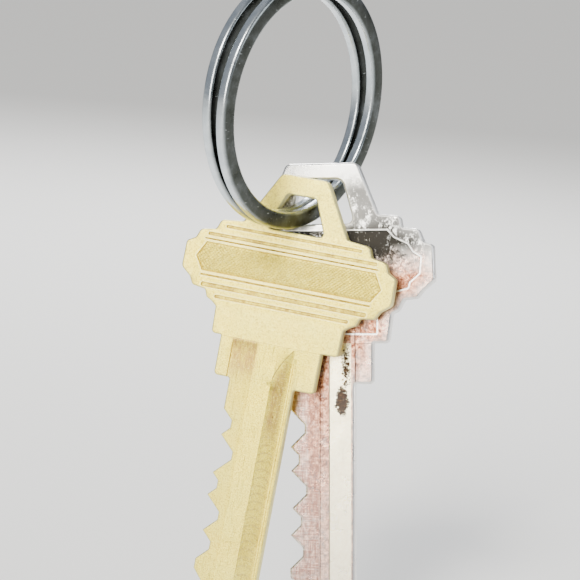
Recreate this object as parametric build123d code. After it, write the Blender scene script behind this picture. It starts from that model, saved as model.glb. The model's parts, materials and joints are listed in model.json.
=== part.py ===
from build123d import *
import math
import os

# Split key ring with two keys on it. Millimetres, +Z up.
# The origin is the centre of the ring's eye. The ring lies in the XZ plane and its axis is Y;
# its front is towards -Y. The two keys hang through the bottom of the ring, one behind the other.

# ---- ring: one flattened steel wire wound into two turns ----
RING_OUTER_R = 15.9          # outside radius, a 32 mm ring
WIRE_WIDTH = 2.2             # radial width of the flattened wire
WIRE_THICK = 1.45            # axial thickness of one turn
WIRE_CORNER_R = 0.45         # rounded edges of the wire
GAP_BOTTOM = 0.04            # gap between the turns at the lowest point
GAP_TOP = 1.56               # gap between the turns at the highest point
JOG_HALF_DEG = 15.0          # the wire crosses from turn to turn within this angle of the top
JOG_STATIONS = 6             # steps along the crossover
FREE_END_DEG = 75.0          # length of each springy end, as an angle of arc
FLEX_GAP = 0.15              # clearance where a springy end meets the rest of the wire
TIP_ROUND = 0.3              # rounding of the wire's two cut ends

RING_R = RING_OUTER_R - WIRE_WIDTH / 2
TOP_DEG = 90.0

# ---- keys: flat stamped plates, both with their faces turned the same way ----
BOW_THICK = 2.0
BLADE_THICK = 1.8            # the neck and blade are milled a little thinner than the bow
FACE_AZIMUTH = 65.0          # the keys' faces look this far from -Y towards -X
FACE_ELEVATION = 12.5        # and this far upwards
BLADE_LENGTH = 30.0          # shoulder to tip
CUT_FIRST = 5.87             # shoulder to the first cut's centre
CUT_PITCH = 3.967            # centre to centre of the cuts
CUT_ROOT = 1.0               # flat at the bottom of a cut
RELIEF = 0.22                # depth of the bow's stamped relief, on both faces
WIDE_CUTTER_R = 30.0         # radius of the cutter that mills the keyway groove
SMALL_CUTTER_R = 6.0         # radius of the cutter that mills the shallow bands

# Each key's place: across and up in the plane of the faces, out along their normal, and its lean.
BRASS_PLACE = (1.55, -8.85, -5.3)
BRASS_LEAN = -2.8
NICKEL_PLACE = (2.72, -6.6, -8.2)
NICKEL_LEAN = 8.2

# Depth of each cut below the blade's edge. An invented, generic set that opens no real lock.
BRASS_CUTS = (1.3, 2.2, 1.0, 1.9, 1.5)
NICKEL_CUTS = (1.9, 1.1, 2.1, 1.4, 1.7)

# Right half of each bow, from its top edge down to the neck, as (x, y, corner radius).
BRASS_BOW = [
    (3.05, 0.0, 0.9), (6.85, -6.9, 0.5), (9.8, -7.2, 0.7), (10.3, -8.5, 0.4), (12.3, -8.85, 0.7),
    (12.75, -10.0, 0.35), (13.9, -10.65, 0.6), (13.95, -14.05, 0.8), (12.65, -15.1, 0.4), (12.1, -16.15, 0.4),
    (10.3, -16.4, 0.3), (9.95, -17.35, 0.3), (9.1, -17.8, 0.3), (8.5, -18.3, 0.3), (8.4, -21.75, 0.5),
]
NICKEL_BOW = [
    (4.7, 0.0, 0.9), (7.35, -6.65, 0.4), (10.25, -6.9, 0.7), (10.5, -8.4, 0.4), (12.65, -8.6, 0.7),
    (13.3, -10.25, 0.35), (14.5, -10.6, 0.7), (14.7, -15.2, 0.8), (13.15, -16.6, 0.4), (12.5, -17.5, 0.4),
    (10.75, -17.7, 0.4), (10.1, -19.0, 0.4), (9.2, -19.5, 0.3), (8.7, -23.2, 0.6),
]
BRASS_HOLE = [(1.9, -2.43, 0.6), (3.86, -7.2, 0.5)]
NICKEL_HOLE = [(2.7, -2.1, 1.2), (4.2, -7.8, 0.7)]

# Outline of each neck and blade: left and right of the neck, its top, the shoulder, left and right of the blade.
BRASS_BLADE = (-7.1, 6.25, -20.5, -26.95, -5.0, 3.55)
NICKEL_BLADE = (-6.5, 6.75, -22.0, -28.4, -4.25, 4.35)

# Sunk strips across the brass bow: (upper y, lower y, half length).
BRASS_STRIPS = [
    (-7.75, -8.15, 9.0), (-9.0, -9.45, 11.2), (-9.8, -10.0, 11.5), (-14.45, -14.7, 11.3),
    (-15.5, -16.1, 11.0), (-16.85, -17.3, 8.9),
]
BRASS_FIELD = [(11.2, -10.3), (12.3, -12.3), (11.2, -14.1)]
NICKEL_FIELD = [
    (8.55, -8.75), (9.4, -9.7), (11.2, -10.55), (11.85, -11.6), (12.85, -12.2), (12.65, -14.3),
    (11.4, -15.4), (11.25, -16.1), (9.4, -16.6), (7.2, -18.9), (7.2, -21.95),
]


# ---------------------------------------------------------------- ring

def turn_plane(side):
    """Plane of one turn: side +1 is the back turn, -1 the front one. The two open like a book."""
    half_gap = (GAP_TOP + GAP_BOTTOM) / 4
    tilt = math.degrees(math.asin((GAP_TOP - GAP_BOTTOM) / 4 / RING_R))
    centre = (0, side * (WIRE_THICK / 2 + half_gap), 0)
    up = Vector(0, 0, 1).rotate(Axis.X, -side * tilt)
    return Plane(origin=centre, x_dir=(1, 0, 0), z_dir=Vector(1, 0, 0).cross(up))


def wire_outline():
    return RectangleRounded(WIRE_WIDTH, WIRE_THICK, WIRE_CORNER_R)


def turn_arc(side, start_deg, arc_deg):
    """A stretch of one turn, from start_deg, clockwise as seen from the front."""
    section = Plane.XZ * Pos(RING_R, 0) * wire_outline()
    arc = revolve(section, Axis.Z, arc_deg)
    return turn_plane(side).location * Rot(0, 0, start_deg - arc_deg) * arc


def turn_point(side, angle_deg):
    """Centre of the wire in one turn at an angle."""
    angle = math.radians(angle_deg)
    return turn_plane(side).from_local_coords(Vector(RING_R * math.cos(angle), RING_R * math.sin(angle), 0))


def jog_point(angle_deg):
    """Centre of the wire along the crossover from the back turn to the front one."""
    along = (TOP_DEG + JOG_HALF_DEG - angle_deg) / (2 * JOG_HALF_DEG)
    share = along * along * (3 - 2 * along)
    return turn_point(1, angle_deg) * (1 - share) + turn_point(-1, angle_deg) * share


def jog_section(angle_deg):
    """The wire's section square to the crossover's path."""
    step = 0.05
    if abs(angle_deg - TOP_DEG) > JOG_HALF_DEG - step:
        side = 1 if angle_deg > TOP_DEG else -1
        tangent = turn_point(side, angle_deg - step) - turn_point(side, angle_deg + step)
        centre = turn_point(side, angle_deg)
        flat = turn_plane(side).z_dir
    else:
        tangent = jog_point(angle_deg - step) - jog_point(angle_deg + step)
        centre = jog_point(angle_deg)
        flat = Vector(0, -1, 0)
    radial = tangent.cross(flat).normalized()
    if radial.Z < 0:
        radial = radial * -1
    return Plane(origin=centre, x_dir=radial, z_dir=tangent) * wire_outline()


def jog():
    first = TOP_DEG + JOG_HALF_DEG
    step = 2 * JOG_HALF_DEG / JOG_STATIONS
    return loft([jog_section(first - k * step) for k in range(JOG_STATIONS + 1)])


def ring_wire():
    """The stiff middle of the wire: it carries the keys."""
    gap_deg = math.degrees(FLEX_GAP / RING_R)
    full = 360 - 2 * JOG_HALF_DEG
    rest = full - FREE_END_DEG
    back = turn_arc(1, TOP_DEG - JOG_HALF_DEG - FREE_END_DEG - gap_deg, rest - gap_deg)
    front = turn_arc(-1, TOP_DEG - JOG_HALF_DEG, rest - gap_deg)
    return back + jog() + front


def rounded_tip(end, tip):
    """Round the cut end of the wire nearest to a point."""
    face = end.faces().sort_by_distance(tip)[0]
    return fillet(face.edges(), TIP_ROUND)


def ring_back_end():
    start = TOP_DEG - JOG_HALF_DEG
    return rounded_tip(turn_arc(1, start, FREE_END_DEG), turn_point(1, start))


def ring_front_end():
    tip_deg = TOP_DEG + JOG_HALF_DEG
    return rounded_tip(turn_arc(-1, tip_deg + FREE_END_DEG, FREE_END_DEG), turn_point(-1, tip_deg))


# ---------------------------------------------------------------- keys

def mirrored(half):
    """A closed outline from its right half, listed from top to bottom."""
    return half + [(-x, *rest) for x, *rest in reversed(half)]


def plate(points, thick):
    """A flat plate centred on the key's mid plane, from (x, y, corner radius) points."""
    corners = [(x, y) for x, y, _ in points]
    radii = [radius for _, _, radius in points]
    face = make_face(FilletPolyline(*corners, radius=radii, close=True))
    return extrude(face, thick / 2, both=True)


def strip(upper, lower, half_length, side):
    """A sunk strip across the bow with round ends."""
    slot = SlotOverall(2 * half_length, upper - lower)
    low = BOW_THICK / 2 - RELIEF if side > 0 else -BOW_THICK / 2 - 1.0
    return Pos(0, (upper + lower) / 2, low) * extrude(slot, RELIEF + 1.0)


def field(half, side):
    """A sunk panel with the given right half."""
    panel = extrude(make_face(Polyline(*mirrored(half), close=True)), RELIEF + 1.0)
    low = BOW_THICK / 2 - RELIEF if side > 0 else -BOW_THICK / 2 - 1.0
    return Pos(0, 0, low) * panel


def groove(left, right, left_depth, right_depth, run_out_y, tip_y, cutter_r, side):
    """A milled groove along the blade. Its floor may slope across, and it runs out in the cutter's curve."""
    deep = max(left_depth, right_depth)
    face_z = side * BLADE_THICK / 2
    flat_top = run_out_y - math.sqrt(cutter_r ** 2 - (cutter_r - deep) ** 2)
    section = [
        (left, flat_top, face_z + side), (left, flat_top, face_z - side * left_depth),
        (right, flat_top, face_z - side * right_depth), (right, flat_top, face_z + side),
    ]
    slot = extrude(make_face(Polyline(*section, close=True)), flat_top - tip_y + 2, dir=(0, -1, 0))
    centre = Pos((left + right) / 2, flat_top, face_z + side * (cutter_r - deep)) * Rot(0, 90, 0)
    width = right - left
    if left_depth == right_depth:
        wheel = Cylinder(cutter_r, width)
    else:
        wheel = Cone(cutter_r - deep + left_depth, cutter_r - deep + right_depth, width)
    return [slot, centre * wheel]


def cut(edge_x, y, depth):
    """One tooth cut from the toothed edge, on the left, with a flat root and 45 degree flanks."""
    reach = depth + 1.0
    half = CUT_ROOT / 2
    points = [
        (edge_x + depth, y + half), (edge_x + depth, y - half),
        (edge_x + depth - reach, y - half - reach), (edge_x + depth - reach, y + half + reach),
    ]
    return extrude(make_face(Polyline(*points, close=True)), BOW_THICK, both=True)


def shank(neck_left, neck_right, neck_top, shoulder_y, left, right):
    """The neck and the blade down to its bevelled tip, as one flat piece."""
    tip_y = shoulder_y - BLADE_LENGTH
    return plate([
        (neck_right, neck_top, 0.1), (neck_right, shoulder_y, 0.5), (right, shoulder_y, 0.3),
        (right, tip_y + 1.6, 0.4), (right - 1.6, tip_y, 0.4), (right - 3.4, tip_y, 0.4),
        (left + 1.2, tip_y + 3.6, 0.3), (left, tip_y + 5.0, 0.3), (left, shoulder_y, 0.3),
        (neck_left, shoulder_y, 0.5), (neck_left, neck_top, 0.1),
    ], BLADE_THICK)


def key(bow, hole, blade_outline, cuts, grooves, reliefs):
    """A whole key in its own frame: x across, y up, origin at the middle of the bow's top edge."""
    shoulder_y, left = blade_outline[3], blade_outline[4]
    body = plate(mirrored(bow), BOW_THICK) + shank(*blade_outline)
    body -= plate(mirrored(hole), BOW_THICK + 2)
    for k, depth in enumerate(cuts):
        body -= cut(left, shoulder_y - CUT_FIRST - k * CUT_PITCH, depth)
    for milled in grooves:
        for piece in milled:
            body -= piece
    for relief in reliefs:
        body -= relief
    return body


def in_place(body, place, lean):
    """Turn a key's face the shared way and put the middle of its bow's top edge in its place."""
    azimuth = math.radians(FACE_AZIMUTH)
    elevation = math.radians(FACE_ELEVATION)
    normal = (
        -math.sin(azimuth) * math.cos(elevation),
        -math.cos(azimuth) * math.cos(elevation),
        math.sin(elevation),
    )
    faces = Plane(origin=(0, 0, 0), x_dir=(math.cos(azimuth), -math.sin(azimuth), 0), z_dir=normal)
    return faces.location * Pos(*place) * Rot(0, 0, lean) * body


def brass_key():
    left, right = BRASS_BLADE[4:]
    tip_y = BRASS_BLADE[3] - BLADE_LENGTH
    grooves = [
        groove(right - 2.95, right - 0.8, 0.06, 0.6, -22.0, tip_y, WIDE_CUTTER_R, 1),
        groove(right - 0.5, right - 0.3, 0.1, 0.1, -23.0, tip_y, SMALL_CUTTER_R, 1),
        groove(left - 0.35, -2.2, 0.2, 0.2, -22.0, tip_y, SMALL_CUTTER_R, 1),
        groove(left + 2.6, left + 4.4, 0.55, 0.55, -22.2, tip_y, WIDE_CUTTER_R, -1),
        groove(right - 1.2, right + 0.3, 0.3, 0.3, -22.2, tip_y, SMALL_CUTTER_R, -1),
    ]
    reliefs = [strip(*size, side) for size in BRASS_STRIPS for side in (1, -1)]
    reliefs += [field(BRASS_FIELD, side) for side in (1, -1)]
    return in_place(key(BRASS_BOW, BRASS_HOLE, BRASS_BLADE, BRASS_CUTS, grooves, reliefs), BRASS_PLACE, BRASS_LEAN)


def nickel_key():
    left, right = NICKEL_BLADE[4:]
    tip_y = NICKEL_BLADE[3] - BLADE_LENGTH
    grooves = [
        groove(right - 3.35, right - 0.55, 0.45, 0.45, -20.2, tip_y, WIDE_CUTTER_R, 1),
        groove(right - 4.5, right - 3.35, 0.15, 0.15, -23.0, tip_y, SMALL_CUTTER_R, 1),
        groove(left - 0.2, right - 4.75, 0.28, 0.28, -23.4, tip_y, SMALL_CUTTER_R, 1),
        groove(right + 0.05, right + 0.65, 0.35, 0.35, -20.0, tip_y, SMALL_CUTTER_R, 1),
        groove(left + 2.6, left + 4.4, 0.55, 0.55, -23.0, tip_y, WIDE_CUTTER_R, -1),
        groove(right - 1.2, right + 0.3, 0.3, 0.3, -23.3, tip_y, SMALL_CUTTER_R, -1),
    ]
    reliefs = [field(NICKEL_FIELD, side) for side in (1, -1)]
    body = key(NICKEL_BOW, NICKEL_HOLE, NICKEL_BLADE, NICKEL_CUTS, grooves, reliefs)
    return in_place(body, NICKEL_PLACE, NICKEL_LEAN)


def main():
    os.makedirs("parts", exist_ok=True)
    for build in (ring_wire, ring_back_end, ring_front_end, brass_key, nickel_key):
        export_step(build(), f"parts/{build.__name__}.step")


if __name__ == "__main__":
    main()
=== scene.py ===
import json
import math

import bmesh
import bpy
import numpy as np
from mathutils import Matrix, Vector
from mathutils.geometry import delaunay_2d_cdt


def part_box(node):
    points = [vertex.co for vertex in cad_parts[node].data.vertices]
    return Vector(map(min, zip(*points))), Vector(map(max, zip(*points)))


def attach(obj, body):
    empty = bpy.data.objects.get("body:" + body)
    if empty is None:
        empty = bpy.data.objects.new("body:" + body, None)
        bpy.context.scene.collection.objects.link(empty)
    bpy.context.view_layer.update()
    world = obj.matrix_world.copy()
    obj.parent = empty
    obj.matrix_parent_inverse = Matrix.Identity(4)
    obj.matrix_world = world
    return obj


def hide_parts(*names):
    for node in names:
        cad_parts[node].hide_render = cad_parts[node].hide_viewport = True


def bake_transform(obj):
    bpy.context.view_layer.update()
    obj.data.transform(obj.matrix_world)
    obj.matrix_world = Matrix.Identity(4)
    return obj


# Split key ring with two keys on it. Metres, +Z up, the ring in the XZ plane with its centre at the origin.

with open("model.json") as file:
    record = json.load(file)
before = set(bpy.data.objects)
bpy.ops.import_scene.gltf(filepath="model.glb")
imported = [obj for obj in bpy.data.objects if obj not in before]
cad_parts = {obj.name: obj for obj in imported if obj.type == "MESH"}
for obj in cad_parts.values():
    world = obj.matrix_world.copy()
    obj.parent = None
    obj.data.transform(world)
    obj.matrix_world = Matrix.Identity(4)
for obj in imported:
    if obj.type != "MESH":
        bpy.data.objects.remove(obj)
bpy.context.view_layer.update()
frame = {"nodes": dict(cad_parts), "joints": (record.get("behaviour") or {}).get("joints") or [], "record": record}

MM = 0.001

# ---- ring, as in the CAD: two turns of flattened wire; in the CAD they open like a book, but here only the middle piece is attached to a body ----
WIRE_THICK = 1.45 * MM
WIRE_CORNER = 0.45 * MM
GAP_BOTTOM = 0.04 * MM
GAP_TOP = 1.56 * MM
JOG_HALF_DEG = 15.0
TIP_ROUND = 0.3 * MM
TOP_DEG = 90.0
SEAM_DEG = 60.0              # the long wire pieces join this far below each side
STATION_DEG = 1.5            # spacing of the sections along the wire
TANGENT_DEG = 0.05           # half the stretch that gives the wire's direction
TIP_STEPS = 5                # steps over the rounding of a cut end

# ---- keys: each key's own frame is in mm ----
# x runs across the key, y up from the middle of the bow's top edge, and z out of its front.
BOW_FACE = 1.0               # the bow's faces stand this far from its mid plane
BLADE_FACE = 0.9
RELIEF = 0.22
CUT_FIRST, CUT_PITCH, CUT_HALF = 5.87, 3.967, 0.5
BLADE_LENGTH = 30.0
JOIN_WITHIN = 1e-4           # guide points nearer than this become one
FIELD_CORNER = 0.12          # corner radius of the field
LINE_OVERRUN = 1.0           # how far a guide line runs past the plate
WALL_MARGIN = 0.08           # a last row of points inside a relief's wall
RUNOUT_STEP = 0.3            # spacing of the rows along a groove's runout
BLADE_STEP = 0.05            # length of the step from the bow's thickness to the blade's
TIP_BEVEL = 1.6              # bevel of the tip's back corner
TIP_BACK = 3.4               # from the blade's back to where the long slope of the tip starts
TIP_SLOPE = (1.2, 3.6)       # the end of that slope, from the blade's toothed edge and from the tip
TIP_EDGE = 5.0               # from the tip to the start of the toothed edge
WALL_RUN = 0.07              # how far a groove's wall slopes out
STRIP_WALL = 0.1             # how far a sunk strip's wall slopes in
HATCH_PITCH = 0.34
HATCH_HEIGHT = 0.07
HATCH_MARGIN = 0.12          # plain border between the hatch and the field's edge
HATCH_FADE = 0.1
FIELD_RIDGE = 0.06           # how proud the ridge round the nickel key's field stands
RIDGE_WIDTH = 0.12
RIM_ANGLES = (90, 72, 54, 36, 18, 0)     # where the rounded rim has a row of points
SHARP_DEG = 25               # edges that turn more than this stay crisp
WIDE_CUTTER, SMALL_CUTTER = 30.0, 6.0

# For each key:
#   mount      the mount at its shoulder
#   rim        the radius that its edges are worn to
#   bow, hole  the right half of each outline, as (x, y, corner radius)
#   blade      neck left, neck right, shoulder, blade left, blade right
#   cuts       the depth of each cut, an invented set
#   field      the right half of the sunk field
#   strips     the sunk strips, as (upper y, lower y, half length)
#   grooves    left, right, left depth, right depth, where it runs out, cutter radius, side
KEYS = {
    "brass_key": {
        "mount": "brass_blade",
        "rim": 0.2,
        "bow": [
            (3.05, 0.0, 0.9), (6.85, -6.9, 0.5), (9.8, -7.2, 0.7), (10.3, -8.5, 0.4), (12.3, -8.85, 0.7),
            (12.75, -10.0, 0.35), (13.9, -10.65, 0.6), (13.95, -14.05, 0.8), (12.65, -15.1, 0.4),
            (12.1, -16.15, 0.4), (10.3, -16.4, 0.3), (9.95, -17.35, 0.3), (9.1, -17.8, 0.3),
            (8.5, -18.3, 0.3), (8.4, -21.75, 0.5),
        ],
        "hole": [(1.9, -2.43, 0.6), (3.86, -7.2, 0.5)],
        "blade": (-7.1, 6.25, -26.95, -5.0, 3.55),
        "cuts": (1.3, 2.2, 1.0, 1.9, 1.5),
        "field": [(11.2, -10.3), (12.3, -12.3), (11.2, -14.1)],
        "strips": [
            (-7.75, -8.15, 9.0), (-9.0, -9.45, 11.2), (-9.8, -10.0, 11.5), (-14.45, -14.7, 11.3),
            (-15.5, -16.1, 11.0), (-16.85, -17.3, 8.9),
        ],
        "grooves": [
            (0.6, 2.75, 0.06, 0.6, -22.0, WIDE_CUTTER, 1), (3.05, 3.25, 0.1, 0.1, -23.0, SMALL_CUTTER, 1),
            (-5.35, -2.2, 0.2, 0.2, -22.0, SMALL_CUTTER, 1), (-2.4, -0.6, 0.55, 0.55, -22.2, WIDE_CUTTER, -1),
            (2.35, 3.85, 0.3, 0.3, -22.2, SMALL_CUTTER, -1),
        ],
    },
    "nickel_key": {
        "mount": "nickel_blade",
        "rim": 0.34,
        "bow": [
            (4.7, 0.0, 0.9), (7.35, -6.65, 0.4), (10.25, -6.9, 0.7), (10.5, -8.4, 0.4), (12.65, -8.6, 0.7),
            (13.3, -10.25, 0.35), (14.5, -10.6, 0.7), (14.7, -15.2, 0.8), (13.15, -16.6, 0.4),
            (12.5, -17.5, 0.4), (10.75, -17.7, 0.4), (10.1, -19.0, 0.4), (9.2, -19.5, 0.3), (8.7, -23.2, 0.6),
        ],
        "hole": [(2.7, -2.1, 1.2), (4.2, -7.8, 0.7)],
        "blade": (-6.5, 6.75, -28.4, -4.25, 4.35),
        "cuts": (1.9, 1.1, 2.1, 1.4, 1.7),
        "field": [
            (8.55, -8.75), (9.4, -9.7), (11.2, -10.55), (11.85, -11.6), (12.85, -12.2), (12.65, -14.3),
            (11.4, -15.4), (11.25, -16.1), (9.4, -16.6), (7.2, -18.9), (7.2, -21.95),
        ],
        "strips": [],
        "grooves": [
            (1.0, 3.8, 0.45, 0.45, -20.2, WIDE_CUTTER, 1), (-0.15, 1.0, 0.15, 0.15, -23.0, SMALL_CUTTER, 1),
            (-4.45, -0.4, 0.28, 0.28, -23.4, SMALL_CUTTER, 1), (4.4, 5.0, 0.35, 0.35, -20.0, SMALL_CUTTER, 1),
            (-1.65, 0.15, 0.55, 0.55, -23.0, WIDE_CUTTER, -1),
            (3.15, 4.65, 0.3, 0.3, -23.3, SMALL_CUTTER, -1),
        ],
    },
}

# ---- camera ----
CAMERA_AZIMUTH = -52.44
CAMERA_ELEVATION = 12.8
CAMERA_ROLL = 5.33
CAMERA_DISTANCE = 210 * MM
VIEW_WIDTH = 72.5 * MM       # width of the view at the ring's depth
RING_IN_VIEW = (0.8 * MM, 23.4 * MM)     # the ring's centre, right of and above the middle of the view
SENSOR = 36.0
NEAR_CLIP = 10 * MM

# ---- stage ----
FLOOR_HALF = 6.0
FLOOR_DROP = 10 * MM         # from the brass key's lowest point down to the floor
LIT_POINT = (0, 0, -25 * MM)     # the lamps point at this place on the keys
WARM = (1.0, 0.96, 0.88)
COOL = (0.9, 0.95, 1.0)


def joint(name):
    return next(j for j in frame["joints"] if j["name"] == name)


def mount(name):
    return next(m for m in frame["record"]["mounts"] if m["name"] == name)


back_root = Vector(joint("back_end_flex")["pos_m"])
RING_R = back_root.x
WIRE_WIDTH = 2 * (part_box("ring_wire")[1].x - RING_R)


# ---------------------------------------------------------------- node helpers

# A Mix node's sockets for colours have the same names as its others, so they go by number.
MIX_SHARE, MIX_A, MIX_B = 0, 6, 7
MIX_RESULT = 2


class Nodes:
    """A short way to write a material's node tree."""

    def __init__(self, name):
        self.material = bpy.data.materials.new(name)
        self.material.use_nodes = True
        self.tree = self.material.node_tree
        self.shader = self.tree.nodes["Principled BSDF"]

    def add(self, kind, **inputs):
        node = self.tree.nodes.new(kind)
        for key, value in inputs.items():
            self.put(node, key.replace("_", " "), value)
        return node

    def put(self, node, socket, value):
        target = node.inputs[socket]
        if isinstance(value, bpy.types.NodeSocket):
            self.tree.links.new(value, target)
        else:
            target.default_value = value

    def coords(self):
        return self.add("ShaderNodeTexCoord").outputs["Object"]

    def stretched(self, vector, scale, rotation=(0, 0, 0)):
        node = self.add("ShaderNodeMapping", Vector=vector)
        node.inputs["Scale"].default_value = scale
        node.inputs["Rotation"].default_value = rotation
        return node.outputs["Vector"]

    def attribute(self, name, output="Fac"):
        node = self.add("ShaderNodeAttribute")
        node.attribute_name = name
        return node.outputs[output]

    def noise(self, vector, scale, detail, rough):
        node = self.add("ShaderNodeTexNoise", Vector=vector, Scale=scale, Detail=detail, Roughness=rough)
        return node.outputs["Fac"]

    def ramp(self, value, *stops):
        """A colour from (value, colour) stops."""
        node = self.add("ShaderNodeValToRGB", Fac=value)
        ramp = node.color_ramp
        while len(ramp.elements) < len(stops):
            ramp.elements.new(0.5)
        for element, (at, colour) in zip(ramp.elements, stops):
            element.position = at
            element.color = (*colour, 1)
        return node.outputs["Color"]

    def span(self, value, low, high, to_low=0.0, to_high=1.0):
        """The value carried from one range to another, and held at its ends."""
        node = self.add("ShaderNodeMapRange", Value=value)
        node.inputs["From Min"].default_value = low
        node.inputs["From Max"].default_value = high
        node.inputs["To Min"].default_value = to_low
        node.inputs["To Max"].default_value = to_high
        return node.outputs["Result"]

    def math(self, operation, a, b=0.0):
        node = self.tree.nodes.new("ShaderNodeMath")
        node.operation = operation
        self.put(node, 0, a)
        self.put(node, 1, b)
        return node.outputs["Value"]

    def times(self, first, *rest):
        for value in rest:
            first = self.math("MULTIPLY", first, value)
        return first

    def plus(self, first, *rest):
        for value in rest:
            first = self.math("ADD", first, value)
        return first

    def minus(self, a, b):
        return self.math("SUBTRACT", a, b)

    def mix(self, share, a, b):
        """A colour between two others."""
        node = self.tree.nodes.new("ShaderNodeMix")
        node.data_type = "RGBA"
        for socket, value in ((MIX_SHARE, share), (MIX_A, a), (MIX_B, b)):
            self.put(node, socket, (*value, 1) if isinstance(value, tuple) else value)
        return node.outputs[MIX_RESULT]

    def mix_value(self, share, a, b):
        """A number between two others."""
        return self.plus(a, self.times(share, self.minus(b, a)))

    def bump(self, height, strength, distance, normal=None):
        node = self.add("ShaderNodeBump", Height=height, Strength=strength, Distance=distance)
        if normal is not None:
            self.tree.links.new(normal, node.inputs["Normal"])
        return node.outputs["Normal"]

    def near(self, value, centre, reach, fade):
        """1 within reach of the centre, falling to 0 over the fade beyond it."""
        away = self.math("ABSOLUTE", self.minus(value, centre))
        return self.span(away, reach + fade, reach)

    def patch(self, x, y, centre, radii):
        """A soft round patch, 1 at its centre and 0 at its radii."""
        across = self.math("DIVIDE", self.minus(x, centre[0]), radii[0])
        along = self.math("DIVIDE", self.minus(y, centre[1]), radii[1])
        square = self.plus(self.times(across, across), self.times(along, along))
        return self.span(square, 1.0, 0.0)

    def surface(self, **inputs):
        for key, value in inputs.items():
            self.put(self.shader, key.replace("_", " "), (*value, 1) if isinstance(value, tuple) else value)


# ---------------------------------------------------------------- ring

def turn_axes(side):
    """Centre and up direction of one turn: side +1 is the back turn, -1 the front one."""
    lean = side * (GAP_TOP - GAP_BOTTOM) / 4 / RING_R
    centre = Vector((0, side * (WIRE_THICK / 2 + (GAP_TOP + GAP_BOTTOM) / 4), 0))
    return centre, Vector((0, lean, math.sqrt(1 - lean * lean)))


def turn_point(side, angle_deg):
    centre, up = turn_axes(side)
    angle = math.radians(angle_deg)
    return centre + RING_R * (math.cos(angle) * Vector((1, 0, 0)) + math.sin(angle) * up)


def wire_point(travel):
    """Centre of the wire after a travel in degrees from the back end, clockwise seen from the front."""
    turn = 360 - 2 * JOG_HALF_DEG
    jog = 2 * JOG_HALF_DEG
    angle = TOP_DEG - JOG_HALF_DEG - travel
    if travel <= turn:
        return turn_point(1, angle)
    if travel >= turn + jog:
        return turn_point(-1, angle)
    along = (travel - turn) / jog
    share = along * along * (3 - 2 * along)
    return turn_point(1, angle).lerp(turn_point(-1, angle), share)


def wire_outline(steps=5):
    """The flattened wire's section: a rounded rectangle as (radial, axial) points."""
    points = []
    half_w, half_t = WIRE_WIDTH / 2 - WIRE_CORNER, WIRE_THICK / 2 - WIRE_CORNER
    for quarter, (sx, sy) in enumerate(((1, 1), (-1, 1), (-1, -1), (1, -1))):
        for k in range(steps + 1):
            a = math.pi / 2 * (quarter + k / steps)
            points.append((sx * half_w + WIRE_CORNER * math.cos(a), sy * half_t + WIRE_CORNER * math.sin(a)))
    return points


def wire_stations(first, last, cap_first, cap_last):
    """Where the wire's section is drawn, as (travel, size), shrinking over the rounding of a cut end."""
    count = max(2, round((last - first) / STATION_DEG))
    stations = [(first + (last - first) * k / count, 1.0) for k in range(count + 1)]
    round_deg = math.degrees(TIP_ROUND / RING_R)
    inset = TIP_ROUND / (WIRE_THICK / 2)
    turns = [math.pi / 2 * k / TIP_STEPS for k in range(TIP_STEPS + 1)]
    rounding = [(round_deg * (1 - math.sin(t)), 1 - inset * (1 - math.cos(t))) for t in turns]
    if cap_last:
        kept = [s for s in stations if s[0] < last - round_deg]
        stations = kept + [(last - away, size) for away, size in rounding]
    if cap_first:
        kept = [s for s in stations if s[0] > first + round_deg]
        stations = [(first + away, size) for away, size in reversed(rounding)] + kept
    return stations


def wire_axes(travel):
    """Centre of the wire and its radial and axial directions."""
    centre = wire_point(travel)
    tangent = (wire_point(travel + TANGENT_DEG) - wire_point(travel - TANGENT_DEG)).normalized()
    radial = Vector((centre.x, 0, centre.z)).normalized()
    radial = (radial - radial.dot(tangent) * tangent).normalized()
    axial = radial.cross(tangent)
    return centre, radial, -axial if axial.y < 0 else axial


def wire_piece(name, first, last, cap_first=False, cap_last=False):
    """A stretch of the wire between two travels in degrees, with rounded cut ends where they are wanted."""
    bm = bmesh.new()
    flat = bm.verts.layers.float.new("flat_face")
    along = bm.verts.layers.float.new("along")
    across = bm.verts.layers.float.new("across")
    outline = wire_outline()
    rings = []
    for travel, size in wire_stations(first, last, cap_first, cap_last):
        centre, radial, axial = wire_axes(travel)
        shrink = WIRE_THICK / 2 * (1 - size)
        row = []
        for r, a in outline:
            rr = math.copysign(max(abs(r) - shrink, 0), r)
            aa = math.copysign(max(abs(a) - shrink, 0), a)
            vert = bm.verts.new(centre + radial * rr + axial * aa)
            vert[flat] = max(0.0, min(1.0, (abs(a) - WIRE_THICK / 2 + WIRE_CORNER) / WIRE_CORNER))
            vert[along] = math.radians(travel) * RING_R
            vert[across] = r
            row.append(vert)
        rings.append(row)
    sides = len(outline)
    for one, two in zip(rings, rings[1:]):
        for k in range(sides):
            bm.faces.new((one[k], one[(k + 1) % sides], two[(k + 1) % sides], two[k]))
    if cap_first:
        bm.faces.new(reversed(rings[0]))
    if cap_last:
        bm.faces.new(rings[-1])
    bmesh.ops.recalc_face_normals(bm, faces=bm.faces)
    for face in bm.faces:
        face.smooth = True
    mesh = bpy.data.meshes.new(name)
    bm.to_mesh(mesh)
    bm.free()
    obj = bpy.data.objects.new(name, mesh)
    bpy.context.scene.collection.objects.link(obj)
    return obj


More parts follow.
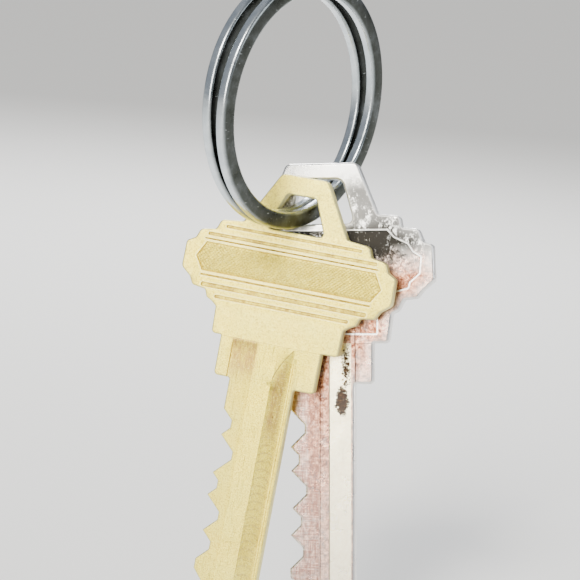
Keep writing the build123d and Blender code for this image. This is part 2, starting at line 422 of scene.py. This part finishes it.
def build_ring(material):
    turn = 360 - 2 * JOG_HALF_DEG
    total = 2 * turn + 2 * JOG_HALF_DEG
    first_seam = TOP_DEG - JOG_HALF_DEG + SEAM_DEG
    second_seam = total - first_seam
    back = wire_piece("wire_back_end", 0, first_seam, cap_first=True)
    middle = wire_piece("wire_middle", first_seam, second_seam)
    front = wire_piece("wire_front_end", second_seam, total, cap_last=True)
    for piece in (back, middle, front):
        piece.data.materials.append(material)
    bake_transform(back)
    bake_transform(front)
    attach(middle, "ring")
    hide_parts("ring_back_end")
    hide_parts("ring_front_end")
    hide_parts("ring_wire")


def steel():
    """Spring steel: rims painted bright as a reflection of sky, flats painted dark grey as shade from a dark
    surround, with fine scratches along the wire.
    """
    n = Nodes("spring_steel_wire")
    here = n.coords()
    flat = n.attribute("flat_face")
    lengthwise = n.add("ShaderNodeCombineXYZ", X=n.attribute("along"), Y=n.attribute("across"))
    lengthwise = lengthwise.outputs["Vector"]
    drawn = n.noise(n.stretched(lengthwise, (180, 9000, 1)), 1.0, 3.0, 0.7)
    blotch = n.noise(here, 420.0, 5.0, 0.62)
    fleck = n.noise(here, 3400.0, 3.0, 0.7)
    nick = n.span(n.noise(n.stretched(here, (900, 900, 5200), (0.3, 0.5, 0.2)), 1.0, 2.0, 0.5), 0.70, 0.76)
    # Painted reflection and shade: the flats get a dark grey as if they reflected a dark surround, the rims a pale
    # blue-white as if they reflected sky.
    flat_painted_shade = n.ramp(
        blotch, (0.30, (0.045, 0.050, 0.042)), (0.52, (0.085, 0.092, 0.085)), (0.75, (0.16, 0.175, 0.18)),
    )
    rim_painted_reflection = n.ramp(blotch, (0.25, (0.52, 0.59, 0.64)), (0.6, (0.78, 0.84, 0.88)), (0.85, (0.90, 0.93, 0.95)))
    base = n.mix(n.math("POWER", flat, 1.6), rim_painted_reflection, flat_painted_shade)
    base = n.mix(n.times(nick, 0.7), base, (0.72, 0.76, 0.78))
    base = n.mix(n.span(fleck, 0.66, 0.78, 0.0, 0.5), base, (0.02, 0.022, 0.02))
    height = n.plus(n.times(drawn, 0.5), n.times(nick, -0.8))
    n.surface(
        Base_Color=base,
        Metallic=1.0,
        Roughness=n.span(n.plus(n.times(flat, 0.12), n.times(blotch, 0.3)), 0.1, 0.5, 0.20, 0.42),
        Normal=n.bump(height, 0.22, 0.05 * MM, n.bump(blotch, 0.12, 0.2 * MM)),
    )
    return n.material


# ---------------------------------------------------------------- keys

def key_matrix(node):
    """From the key's own frame, in mm, to the scene's."""
    place = mount(KEYS[node]["mount"])
    shoulder, left, right = KEYS[node]["blade"][2:]
    up = -Vector(place["axis"]).normalized()
    largest = max(frame["nodes"][node].data.polygons, key=lambda p: p.area)
    normal = largest.normal.copy()
    if normal.x > 0:
        normal = -normal
    across = up.cross(normal).normalized()
    up = normal.cross(across).normalized()
    matrix = Matrix((across * MM, up * MM, normal * MM)).transposed().to_4x4()
    matrix.translation = Vector(place["pos_m"]) - matrix.to_3x3() @ Vector(((left + right) / 2, shoulder, 0))
    return matrix


def mirrored(half):
    """The whole outline from its right half."""
    return half + [(-x, *rest) for x, *rest in reversed(half)]


def filleted(points, step=0.1):
    """A closed loop from (x, y, corner radius) points, with arcs at its corners."""
    loop = []
    for k, (x, y, radius) in enumerate(points):
        corner = Vector((x, y))
        to_last = Vector(points[k - 1][:2]) - corner
        to_next = Vector(points[(k + 1) % len(points)][:2]) - corner
        half = to_last.angle(to_next) / 2
        radius = min(radius, 0.45 * min(to_last.length, to_next.length) * math.tan(half))
        run = radius / math.tan(half)
        centre = corner + (to_last.normalized() + to_next.normalized()).normalized() * radius / math.sin(half)
        start = corner + to_last.normalized() * run - centre
        end = corner + to_next.normalized() * run - centre
        sweep = -start.angle_signed(end)
        count = max(2, math.ceil(radius * abs(sweep) / step))
        for i in range(count + 1):
            turn = sweep * i / count
            loop.append((
                centre.x + start.x * math.cos(turn) - start.y * math.sin(turn),
                centre.y + start.x * math.sin(turn) + start.y * math.cos(turn),
            ))
    return np.array(loop)


def tooth_points(left, shoulder, cuts):
    """The toothed edge from the tip end up to the shoulder."""
    roots = [(shoulder - CUT_FIRST - k * CUT_PITCH, depth) for k, depth in enumerate(cuts)][::-1]
    points = [(left, roots[0][0] - CUT_HALF - roots[0][1], 0.1)]
    for k, (y, depth) in enumerate(roots):
        points += [(left + depth, y - CUT_HALF, 0.12), (left + depth, y + CUT_HALF, 0.12)]
        if k + 1 == len(roots):
            points.append((left, y + CUT_HALF + depth, 0.1))
            continue
        low, high = y + CUT_HALF, roots[k + 1][0] - CUT_HALF
        peak_y = (depth - roots[k + 1][1] + low + high) / 2
        peak_x = left + depth - (peak_y - low)
        if peak_x > left:
            points.append((peak_x, peak_y, 0.08))
        else:
            points += [(left, low + depth, 0.1), (left, high - roots[k + 1][1], 0.1)]
    return points


def key_outline(key):
    neck_left, neck_right, shoulder, left, right = key["blade"]
    block_y = key["bow"][-1][1]
    tip = shoulder - BLADE_LENGTH
    mirror = [(-x, y, radius) for x, y, radius in reversed(key["bow"])]
    return filleted(
        key["bow"] + [(neck_right, block_y, 0.12), (neck_right, shoulder, 0.5), (right, shoulder, 0.3)]
        + [(right, tip + TIP_BEVEL, 0.4), (right - TIP_BEVEL, tip, 0.4), (right - TIP_BACK, tip, 0.4)]
        + [(left + TIP_SLOPE[0], tip + TIP_SLOPE[1], 0.3), (left, tip + TIP_EDGE, 0.3)]
        + tooth_points(left, shoulder, key["cuts"])
        + [(left, shoulder, 0.3), (neck_left, shoulder, 0.5), (neck_left, block_y, 0.12)] + mirror
    )


def depth_inside(points, loop):
    """How far each point lies inside a closed loop, negative outside it."""
    nearest = np.full(len(points), np.inf)
    inside = np.zeros(len(points), dtype=bool)
    for a, b in zip(loop, np.roll(loop, -1, axis=0)):
        edge = b - a
        length = edge @ edge
        if length < 1e-12:
            continue
        away = points - a
        share = np.clip(away @ edge / length, 0, 1)
        nearest = np.minimum(nearest, ((away - share[:, None] * edge) ** 2).sum(axis=1))
        crosses = (a[1] > points[:, 1]) != (b[1] > points[:, 1])
        if abs(edge[1]) > 1e-12:
            inside ^= crosses & (points[:, 0] < a[0] + (points[:, 1] - a[1]) / edge[1] * edge[0])
    return np.where(inside, 1, -1) * np.sqrt(nearest)


def inset(loop, distance):
    """The loop moved inwards along its normals."""
    ahead = np.roll(loop, -1, axis=0) - loop
    behind = loop - np.roll(loop, 1, axis=0)
    ahead = ahead / np.maximum(np.linalg.norm(ahead, axis=1, keepdims=True), 1e-9)
    behind = behind / np.maximum(np.linalg.norm(behind, axis=1, keepdims=True), 1e-9)
    along = ahead + behind
    along = along / np.maximum(np.linalg.norm(along, axis=1, keepdims=True), 1e-9)
    normal = np.stack([along[:, 1], -along[:, 0]], axis=1)
    area = (loop[:, 0] * np.roll(loop[:, 1], -1) - np.roll(loop[:, 0], -1) * loop[:, 1]).sum()
    corner = np.maximum(np.abs((along * ahead).sum(axis=1)), 0.5)[:, None]
    return loop + normal * distance * (-1 if area > 0 else 1) / corner


def flat_start(groove):
    """Where a groove reaches its full depth, below the round end that its cutter leaves."""
    _, _, left_depth, right_depth, run_out, cutter, _ = groove
    return run_out - math.sqrt(cutter ** 2 - (cutter - max(left_depth, right_depth)) ** 2)


def groove_depth(points, groove):
    """How deep a groove is at each point, with its sloping walls and the cutter's runout."""
    left, right, left_depth, right_depth, _, cutter, _ = groove
    x, y = points[:, 0], points[:, 1]
    floor = left_depth + (right_depth - left_depth) * np.clip((x - left) / (right - left), 0, 1)
    climb = np.clip(y - flat_start(groove), 0, cutter * 0.99)
    floor = floor - (cutter - np.sqrt(cutter ** 2 - climb ** 2))
    outside = np.maximum(left - x, x - right)
    return np.maximum(floor, 0) * np.clip(1 - outside / WALL_RUN, 0, 1)


def hatch_height(points):
    """Fine crossed ridges, 0 to 1, stronger one way than the other."""
    x, y = points[:, 0], points[:, 1]
    one = (x - y) / math.sqrt(2) / HATCH_PITCH
    two = (x + y) / math.sqrt(2) / HATCH_PITCH
    ridge = 1 - 2 * np.abs(one - np.round(one))
    crossing = 1 - 2 * np.abs(two - np.round(two))
    return np.maximum(ridge, 0.8 * crossing)


def strip_loop(upper, lower, half_length):
    radius = (upper - lower) / 2
    corners = [(half_length, upper), (half_length, lower), (-half_length, lower), (-half_length, upper)]
    return filleted([(x, y, radius * 0.98) for x, y in corners], 0.06)


def surface_height(key, points, side, reliefs, inward):
    """How far the key's face stands from its mid plane at each point."""
    block_y = key["bow"][-1][1]
    step = np.clip((block_y - points[:, 1]) / BLADE_STEP, 0, 1)
    face = BOW_FACE + (BLADE_FACE - BOW_FACE) * step
    depth = np.zeros(len(points))
    for inside in reliefs:
        depth = np.maximum(depth, RELIEF * np.clip(inside / STRIP_WALL, 0, 1))
    field = reliefs[0]
    if key["strips"]:
        hatched = np.clip((field - STRIP_WALL) / HATCH_FADE, 0, 1)
        depth = depth - HATCH_HEIGHT * hatch_height(points) * hatched
    else:
        depth = depth - FIELD_RIDGE * np.clip(1 - np.abs(field + RIDGE_WIDTH) / RIDGE_WIDTH, 0, 1)
    for groove in key["grooves"]:
        if groove[-1] == side:
            depth = np.maximum(depth, groove_depth(points, groove))
    rim = key["rim"]
    near = np.clip(rim - inward, 0, rim)
    return face - depth - (rim - np.sqrt(rim ** 2 - near ** 2))


def guide_lines(key, outline, hole, relief_loops):
    """The loops and lines that the key's surface is cut along, so that each edge in it is crisp."""
    rim = key["rim"]
    rounds = [rim * (1 - math.sin(math.radians(angle))) for angle in RIM_ANGLES]
    loops = [inset(outline, distance) for distance in rounds]
    loops += [inset(hole, -distance) for distance in rounds]
    wall_steps = (-2 * RIDGE_WIDTH, -RIDGE_WIDTH, 0, STRIP_WALL, STRIP_WALL + WALL_MARGIN)
    for loop in relief_loops:
        loops += [inset(loop, distance) for distance in wall_steps]
    block_x, block_y = key["bow"][-1][:2]
    reach = block_x + LINE_OVERRUN
    lines = [[(-reach, y), (reach, y)] for y in (block_y, block_y - BLADE_STEP)]
    tip = key["blade"][2] - BLADE_LENGTH - LINE_OVERRUN
    for groove in key["grooves"]:
        lines += groove_lines(groove, tip)
    if key["strips"]:
        lines += hatch_lines(key["field"])
    return loops, lines


def groove_lines(groove, tip):
    """Lines along a groove's walls, across its runout, and where the runout meets a sloping floor."""
    left, right, left_depth, right_depth, run_out, cutter, _ = groove
    flat_top = flat_start(groove)
    lines = [[(x, run_out), (x, tip)] for x in (left - WALL_RUN, left, right, right + WALL_RUN)]
    count = max(4, math.ceil((run_out - flat_top) / RUNOUT_STEP))
    for k in range(count + 1):
        y = run_out + (flat_top - run_out) * k / count
        lines.append([(left - WALL_RUN, y), (right + WALL_RUN, y)])
    if left_depth != right_depth:
        edge = []
        for k in range(3 * count + 1):
            y = run_out + (flat_top - run_out) * k / (3 * count)
            rise = cutter - math.sqrt(cutter ** 2 - (y - flat_top) ** 2)
            share = (rise - left_depth) / (right_depth - left_depth)
            if 0 <= share <= 1:
                edge.append((left + (right - left) * share, y))
        lines.append(edge)
    return lines


def hatch_lines(field):
    """Diagonal lines across the field, two for each ridge."""
    (top_x, top_y), (mid_x, mid_y), (_, low_y) = field
    lines = []
    for sign in (1, -1):
        reach = int((mid_x - low_y) / HATCH_PITCH * 3)
        for k in range(-reach, reach + 1):
            offset = k * HATCH_PITCH / math.sqrt(2)
            kept = []
            for share in np.linspace(0, 1, 25):
                y = low_y + (top_y - low_y) * share
                x = sign * y + offset
                if abs(x) < mid_x - abs(y - mid_y) * (mid_x - top_x) / (top_y - mid_y) - HATCH_MARGIN:
                    kept.append((x, y))
            if len(kept) > 1:
                lines.append([kept[0], kept[-1]])
    return lines


def plate_triangles(loops, lines, outline, hole):
    """The flat plate cut into triangles along its guide lines, as points and corner numbers."""
    coords, edges = [], []
    for path, closed in [(loop, True) for loop in loops] + [(line, False) for line in lines]:
        first = len(coords)
        coords += [Vector((float(x), float(y))) for x, y in path]
        edges += [(first + k, first + k + 1) for k in range(len(path) - 1)]
        if closed:
            edges.append((len(coords) - 1, first))
    flat, _, triangles, _, _, _ = delaunay_2d_cdt(coords, edges, [], 0, JOIN_WITHIN)
    points = np.array([tuple(v) for v in flat])
    middles = np.array([points[list(t)].mean(axis=0) for t in triangles])
    kept = (depth_inside(middles, outline) > 0) & (depth_inside(middles, hole) < 0)
    triangles = [t for t, keep in zip(triangles, kept) if keep]
    used = sorted({v for t in triangles for v in t})
    number = {v: k for k, v in enumerate(used)}
    return points[used], [tuple(number[v] for v in t) for t in triangles]


def open_edges(triangles):
    """The edges that only one triangle has, which are the plate's rims."""
    edges = dict.fromkeys(edge for t in triangles for edge in zip(t, t[1:] + t[:1]))
    return [(a, b) for a, b in edges if (b, a) not in edges]


def key_mesh(node):
    """The key's plate as one closed mesh in its own frame, with its worn rims and relief edges marked for wear and
    a painted highlight.
    """
    key = KEYS[node]
    outline = key_outline(key)
    hole = filleted(mirrored(key["hole"]))
    relief_loops = [filleted([(x, y, FIELD_CORNER) for x, y in mirrored(key["field"])], 0.08)]
    relief_loops += [strip_loop(*strip) for strip in key["strips"]]
    loops, lines = guide_lines(key, outline, hole, relief_loops)
    points, triangles = plate_triangles(loops, lines, outline, hole)
    rim_edges = open_edges(triangles)
    inward = np.maximum(np.minimum(depth_inside(points, outline), -depth_inside(points, hole)), 0)
    for a, b in rim_edges:
        inward[a] = inward[b] = 0
    reliefs = [depth_inside(points, loop) for loop in relief_loops]
    front = surface_height(key, points, 1, reliefs, inward)
    back = -surface_height(key, points, -1, reliefs, inward)
    count = len(points)
    verts = [(*p, z) for p, z in zip(points, front)] + [(*p, z) for p, z in zip(points, back)]
    faces = list(triangles) + [tuple(count + v for v in reversed(t)) for t in triangles]
    faces += [(b, a, count + a, count + b) for a, b in rim_edges]
    mesh = bpy.data.meshes.new(node + "_plate")
    mesh.from_pydata(verts, [], faces)
    mesh.polygons.foreach_set("use_smooth", [True] * len(faces))
    place = mesh.attributes.new("key_place", "FLOAT_VECTOR", "POINT")
    place.data.foreach_set("vector", np.array(verts).ravel())
    # This mask is 1 along the worn rims and the edges of the sunk reliefs; the materials paint it bright, partly
    # as wear and partly as a painted highlight.
    worn = np.clip(1.15 - inward / key["rim"], 0, 1)
    for inside in reliefs:
        worn = np.maximum(worn, np.clip(1 - np.abs(inside + RIDGE_WIDTH / 2) / RIDGE_WIDTH, 0, 1))
    worn_edge_and_highlight = mesh.attributes.new("worn_edge_and_highlight", "FLOAT", "POINT")
    worn_edge_and_highlight.data.foreach_set("value", np.tile(worn, 2))
    return mesh


def build_key(node, material):
    """The CAD key again, with its edges worn round and its fine stamped and milled detail."""
    mesh = key_mesh(node)
    mesh.transform(key_matrix(node))
    mesh.set_sharp_from_angle(angle=math.radians(SHARP_DEG))
    draft = bpy.data.objects.new("draft", mesh)
    bpy.context.scene.collection.objects.link(draft)
    normals = draft.modifiers.new("normals", "WEIGHTED_NORMAL")
    normals.keep_sharp = True
    normals.weight = 90
    bpy.context.view_layer.update()
    mesh = bpy.data.meshes.new_from_object(draft.evaluated_get(bpy.context.evaluated_depsgraph_get()))
    bpy.data.objects.remove(draft)
    piece = bpy.data.objects.new(node + "_plate", mesh)
    bpy.context.scene.collection.objects.link(piece)
    mesh.materials.clear()
    mesh.materials.append(material)
    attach(piece, node)
    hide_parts(node)


# ---------------------------------------------------------------- key materials, in the key's own frame

# Colours on the brass: brown stains, a dark line along the groove's lip, and a valley colour that is partly stain
# and partly painted shade in the hatch.
STAMP_STAIN = (0.30, 0.15, 0.035)
VALLEY_STAIN_AND_SHADE = (0.46, 0.31, 0.08)
BAND_STAIN = (0.42, 0.20, 0.08)
GROOVE_STAIN = (0.40, 0.22, 0.08)
CHATTER_STAIN = (0.48, 0.30, 0.11)
LIP_DARK_LINE = (0.16, 0.09, 0.03)
SPOT_STAIN = (0.16, 0.08, 0.03)

# Where the brass is stained: the middle of each patch and its half width and half length.
BAND_PATCH = (-3.7, -23.4, 1.5, 1.8)
GROOVE_PATCH = (1.35, -28.5, 0.75, 3.2)
CHATTER_MIDDLE = 1.5         # x of the middle of the arcs that the cutter left
CHATTER_PITCH = 1.05
CHATTER_BOW = 0.45           # how strongly the arcs curve

# Rust on the nickel: a solid blot and a looser trail above it, as (centre, radii, strength).
RUST_BLOT = ((2.6, -30.7), (1.2, 2.5), 1.15)
RUST_TRAIL = ((3.1, -26.4), (1.0, 4.2), 0.72)
GRIME_COLOUR = (0.022, 0.019, 0.015)


def key_parts(n, node):
    """The key's own place as a vector, its x, y and z, its worn edges (which also carry a painted highlight), its
    blade and its sunk parts.
    """
    here = n.attribute("key_place", "Vector")
    axes = n.add("ShaderNodeSeparateXYZ", Vector=here).outputs
    block_y = KEYS[node]["bow"][-1][1]
    blade = n.span(axes["Y"], block_y + 0.03, block_y - 0.07)
    depth = n.math("ABSOLUTE", axes["Z"])
    face = n.span(blade, 0, 1, BOW_FACE, BLADE_FACE)
    recess = n.span(n.minus(face, depth), 0.03, 0.18)
    return here, axes["X"], axes["Y"], axes["Z"], n.attribute("worn_edge_and_highlight"), blade, recess


def scimitar_lip(n, x, y, z):
    """The curved edge where the sloping floor of the brass key's groove comes up to its face."""
    groove = KEYS["brass_key"]["grooves"][0]
    left, right, left_depth, right_depth, _, cutter, _ = groove
    widen = (right - left) / (right_depth - left_depth)
    below = n.minus(y, flat_start(groove))
    curve = n.plus(n.times(below, below, widen / (2 * cutter)), left - widen * left_depth)
    on_curve = n.near(n.minus(x, curve), 0.0, 0.04, 0.06)
    return n.times(on_curve, n.near(y, -24.0, 2.0, 0.1), n.span(z, 0.3, 0.5))


def cutter_arcs(n, x, y, cloud, old):
    """Faint arcs across the lower groove, left by the cutter's chatter."""
    bow = n.minus(x, CHATTER_MIDDLE)
    beat = n.plus(y, n.times(bow, bow, CHATTER_BOW), n.times(cloud, 0.8))
    beat = n.math("FRACT", n.math("DIVIDE", beat, CHATTER_PITCH))
    arcs = n.times(n.near(beat, 0.5, 0.05, 0.12), n.span(old, 0.0, 0.7, 0.15, 0.6))
    return n.times(n.near(x, CHATTER_MIDDLE, 0.9, 0.3), n.span(y, -31.0, -33.5), arcs)


def brass():
    """Pale worn brass: satin and grainy, with brown stain in the stamped recesses and the milled blade, hatch
    valleys darkened partly as painted shade, and a painted highlight on the worn edges.
    """
    n = Nodes("worn_brass")
    here, x, y, z, edge, blade, recess = key_parts(n, "brass_key")
    grain = n.noise(here, 5.5, 3.0, 0.7)
    fine = n.noise(here, 14.0, 2.0, 0.6)
    cloud = n.noise(here, 0.26, 5.0, 0.62)
    old = n.span(n.noise(here, 1.1, 6.0, 0.7), 0.40, 0.66)
    chatter = n.noise(n.stretched(here, (4.5, 0.8, 1.0), (0, 0, 0.12)), 1.0, 4.0, 0.7)
    base = n.ramp(cloud, (0.25, (0.88, 0.70, 0.05)), (0.5, (0.98, 0.83, 0.09)), (0.8, (1.0, 0.89, 0.15)))

    # stamped bow
    field = n.times(n.near(y, KEYS["brass_key"]["field"][1][1] + 0.1, 2.0, 0.1), recess)
    stain = n.times(recess, old, n.minus(1.0, blade), n.span(field, 0, 1, 0.9, 0.18))
    base = n.mix(stain, base, STAMP_STAIN)
    # The hatch's valleys are darkened: partly brown stain, partly painted shade that makes the fine ridges read.
    valley_stain_and_shade = n.times(field, n.span(n.math("ABSOLUTE", z), 0.835, 0.79))
    base = n.mix(n.times(valley_stain_and_shade, 0.40), base, VALLEY_STAIN_AND_SHADE)

    # milled neck and blade
    middle_x, middle_y, half_x, half_y = BAND_PATCH
    band = n.times(n.near(x, middle_x, half_x, 0.5), blade, n.near(y, middle_y, half_y, 2.2))
    base = n.mix(n.times(band, n.span(chatter, 0.35, 0.65, 0.2, 0.9)), base, BAND_STAIN)
    middle_x, middle_y, half_x, half_y = GROOVE_PATCH
    groove = n.times(recess, n.near(x, middle_x, half_x, 0.4), n.near(y, middle_y, half_y, 3.0))
    base = n.mix(n.times(groove, n.span(chatter, 0.30, 0.62, 0.15, 0.9)), base, GROOVE_STAIN)
    base = n.mix(cutter_arcs(n, x, y, cloud, old), base, CHATTER_STAIN)
    # A thin dark line painted along the curved lip of the groove.
    base = n.mix(n.times(scimitar_lip(n, x, y, z), 0.8), base, LIP_DARK_LINE)
    spots = n.span(n.noise(here, 2.3, 2.0, 0.5), 0.70, 0.74)
    base = n.mix(n.times(spots, blade, n.near(x, 2.1, 0.9, 0.4)), base, SPOT_STAIN)

    # grain, worn edges painted bright as a highlight and as wear, and scratches
    base = n.mix(n.span(grain, 0.50, 0.64, 0.0, 0.75), base, (0.46, 0.31, 0.05))
    base = n.mix(n.span(fine, 0.54, 0.66, 0.0, 0.5), base, (0.50, 0.34, 0.06))
    base = n.mix(n.span(grain, 0.44, 0.34, 0.0, 0.6), base, (1.0, 0.93, 0.36))
    # Painted highlight along the worn edges, on top of the brighter worn brass.
    base = n.mix(n.times(edge, 0.7), base, (1.0, 0.94, 0.50))
    scratch = n.span(n.noise(n.stretched(here, (9.0, 0.25, 1.0), (0, 0, 0.05)), 1.0, 2.0, 0.5), 0.64, 0.74)
    height = n.plus(n.times(grain, 0.7), n.times(fine, 0.5), n.times(scratch, blade, -0.7))
    height = n.plus(height, n.times(blade, chatter, 0.5))
    n.surface(
        Base_Color=base,
        Metallic=0.92,
        Roughness=n.span(n.plus(cloud, n.times(recess, 0.35)), 0.2, 1.0, 0.30, 0.55),
        Normal=n.bump(height, 0.45, 0.07 * MM, n.bump(cloud, 0.14, 0.5 * MM)),
    )
    return n.material


def grime_on_bow(n, here, x, y, recess, mottle, speck, spread):
    """Dark mottled grime on the upper bow and along the top of the field."""
    ragged_x = n.plus(x, n.span(mottle, 0.3, 0.7, -2.0, 2.0))
    ragged_y = n.plus(y, n.span(speck, 0.3, 0.7, -1.2, 1.2))
    upper = n.times(n.near(y, -7.0, 3.4, 2.4), n.span(n.math("ABSOLUTE", x), 1.5, 4.0))
    panel = n.times(recess, n.near(ragged_y, -10.2, 1.8, 2.6), n.near(ragged_x, 3.0, 5.5, 4.0))
    dirty = n.math("MAXIMUM", upper, n.times(panel, 1.1))
    blotch = n.noise(n.stretched(here, (1.0, 0.55, 1.0), (0, 0, 0.3)), 0.95, 6.0, 0.8)
    spread = n.mix_value(upper, spread, n.plus(n.times(blotch, 0.75), n.times(speck, 0.25)))
    lean = n.plus(n.times(panel, 0.04), n.times(upper, 0.045))
    return n.times(dirty, n.span(n.minus(spread, lean), 0.53, 0.47))


def nickel():
    """Worn nickel plate: dark grime on the upper bow, a coppery tint lower down, rust on the blade, and worn edges
    painted bright as a highlight.
    """
    n = Nodes("worn_nickel_plate")
    here, x, y, _, edge, blade, recess = key_parts(n, "nickel_key")
    cloud = n.noise(here, 0.35, 6.0, 0.65)
    mottle = n.noise(here, 1.9, 6.0, 0.78)
    speck = n.noise(here, 4.5, 4.0, 0.7)
    grain = n.noise(here, 8.0, 3.0, 0.7)
    spread = n.plus(n.times(mottle, 0.6), n.times(speck, 0.4))

    # plate: silver above, coppery below, creamy where the wide groove shows fresh metal
    silver = n.ramp(cloud, (0.25, (0.48, 0.48, 0.46)), (0.55, (0.72, 0.72, 0.69)), (0.85, (0.88, 0.88, 0.85)))
    pink = n.ramp(mottle, (0.40, (0.10, 0.03, 0.018)), (0.50, (0.38, 0.16, 0.09)), (0.61, (0.72, 0.42, 0.28)))
    cream = n.ramp(mottle, (0.30, (0.86, 0.74, 0.46)), (0.60, (0.98, 0.90, 0.64)), (0.85, (1.0, 0.97, 0.80)))
    low = n.span(n.plus(y, n.times(cloud, 5.0)), -8.0, -12.0)
    worn = n.span(n.noise(here, 0.9, 5.0, 0.7), 0.50, 0.62, 1.0, 0.8)
    base = n.mix(n.times(low, worn), silver, pink)
    left, right = KEYS["nickel_key"]["grooves"][0][:2]
    shine = n.times(blade, n.near(x, (left + right) / 2, (right - left) / 2 - 0.05, 0.12))
    base = n.mix(shine, base, cream)

    # grime and rust
    grime = grime_on_bow(n, here, x, y, recess, mottle, speck, spread)
    base = n.mix(n.math("MINIMUM", n.times(grime, 0.97), 0.97), base, GRIME_COLOUR)
    blot, trail = (n.times(n.patch(x, y, *place), strength) for *place, strength in (RUST_BLOT, RUST_TRAIL))
    rust = n.span(n.minus(n.times(n.math("MAXIMUM", blot, trail), 0.27), spread), -0.36, -0.345)
    rusty = n.ramp(
        speck, (0.40, (0.012, 0.007, 0.004)), (0.58, (0.07, 0.03, 0.012)), (0.72, (0.35, 0.15, 0.04)),
    )
    base = n.mix(rust, base, rusty)

    # worn edges painted bright as a highlight and as wear, scratches, and the woven marks beside the teeth
    # Painted highlight along the worn edges, on top of the brighter worn nickel.
    base = n.mix(n.times(n.span(edge, 0.0, 0.5), 0.9), base, (1.0, 0.99, 0.96))
    scratch = n.span(n.noise(n.stretched(here, (7.0, 0.6, 0.6), (0, 0, 0.7)), 1.0, 2.0, 0.5), 0.68, 0.74)
    base = n.mix(n.times(scratch, 0.5), base, (0.90, 0.84, 0.80))
    tooth_edge = KEYS["nickel_key"]["grooves"][2][1]
    teeth = n.times(blade, n.span(x, tooth_edge + 0.1, tooth_edge - 0.1))
    weave = ((0.6, 6.0, 1.0), (6.0, 0.6, 1.0))
    crossed = n.plus(*(n.noise(n.stretched(here, scale), 1.0, 3.0, 0.6) for scale in weave))
    base = n.mix(n.times(teeth, n.span(crossed, 0.90, 1.12, 0.0, 0.75)), base, (0.26, 0.12, 0.09))
    spoiled = n.math("MAXIMUM", n.math("MINIMUM", grime, 1.0), rust)
    height = n.plus(grain, n.times(teeth, crossed, 0.8), n.times(n.plus(scratch, spoiled), -0.5))
    n.surface(
        Base_Color=base,
        Metallic=1.0,
        Roughness=n.span(n.plus(cloud, spoiled), 0.2, 1.6, 0.20, 0.65),
        Normal=n.bump(height, 0.25, 0.06 * MM, n.bump(cloud, 0.1, 0.3 * MM)),
    )
    return n.material


# ---------------------------------------------------------------- stage, light and camera

def camera_axes():
    """Right, up and back directions of the camera, turned by its roll."""
    a, e = math.radians(CAMERA_AZIMUTH), math.radians(CAMERA_ELEVATION)
    back = Vector((math.sin(a) * math.cos(e), -math.cos(a) * math.cos(e), math.sin(e)))
    right = Vector((math.cos(a), math.sin(a), 0))
    up = back.cross(right)
    roll = math.radians(CAMERA_ROLL)
    return (
        right * math.cos(roll) + up * math.sin(roll),
        up * math.cos(roll) - right * math.sin(roll),
        back,
    )


def add_camera():
    right, up, back = camera_axes()
    data = bpy.data.cameras.new("camera")
    data.sensor_width = SENSOR
    data.lens = SENSOR * CAMERA_DISTANCE / VIEW_WIDTH
    data.clip_start = NEAR_CLIP
    camera = bpy.data.objects.new("camera", data)
    bpy.context.scene.collection.objects.link(camera)
    matrix = Matrix((right, up, back)).transposed().to_4x4()
    matrix.translation = back * CAMERA_DISTANCE - right * RING_IN_VIEW[0] - up * RING_IN_VIEW[1]
    camera.matrix_world = matrix
    bpy.context.scene.camera = camera


def add_area(name, direction, distance, size, power, colour=(1, 1, 1)):
    data = bpy.data.lights.new(name, "AREA")
    data.size = size
    data.energy = power
    data.color = colour
    light = bpy.data.objects.new(name, data)
    bpy.context.scene.collection.objects.link(light)
    towards = Vector(direction).normalized()
    light.location = Vector(LIT_POINT) + towards * distance
    light.rotation_mode = "QUATERNION"
    light.rotation_quaternion = towards.to_track_quat("Z", "Y")


def add_floor():
    mesh = bpy.data.meshes.new("floor")
    half = FLOOR_HALF
    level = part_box("brass_key")[0].z - FLOOR_DROP
    corners = [(-half, -half, level), (half, -half, level), (half, half, level), (-half, half, level)]
    mesh.from_pydata(corners, [], [(0, 1, 2, 3)])
    floor = bpy.data.objects.new("floor", mesh)
    bpy.context.scene.collection.objects.link(floor)
    n = Nodes("pale_floor")
    n.surface(Base_Color=(0.78, 0.78, 0.77), Roughness=0.8)
    mesh.materials.append(n.material)


def add_sun(name, direction, strength, spread_deg, colour):
    data = bpy.data.lights.new(name, "SUN")
    data.energy = strength
    data.angle = math.radians(spread_deg)
    data.color = colour
    light = bpy.data.objects.new(name, data)
    bpy.context.scene.collection.objects.link(light)
    light.rotation_mode = "QUATERNION"
    light.rotation_quaternion = Vector(direction).to_track_quat("Z", "Y")


def add_light():
    right, up, back = camera_axes()
    world = bpy.data.worlds.new("studio")
    bpy.context.scene.world = world
    world.use_nodes = True
    world.node_tree.nodes["Background"].inputs["Color"].default_value = (0.80, 0.84, 0.92, 1)
    world.node_tree.nodes["Background"].inputs["Strength"].default_value = 0.40
    add_sun("key_light", (-0.74, -0.16, 0.70), strength=3.3, spread_deg=14, colour=WARM)
    add_area("face_light", (-0.95, -0.21, 0.28), distance=0.42, size=0.16, power=1.1, colour=WARM)
    add_area("fill_light", right * 1.0 + up * 0.3 + back * 0.5, distance=0.5, size=0.25, power=1.0, colour=COOL)
    add_area("rim_light", up * 1.0 - back * 0.8, distance=0.45, size=0.2, power=2.6)


add_camera()
add_floor()
add_light()
build_ring(steel())
build_key("brass_key", brass())
build_key("nickel_key", nickel())
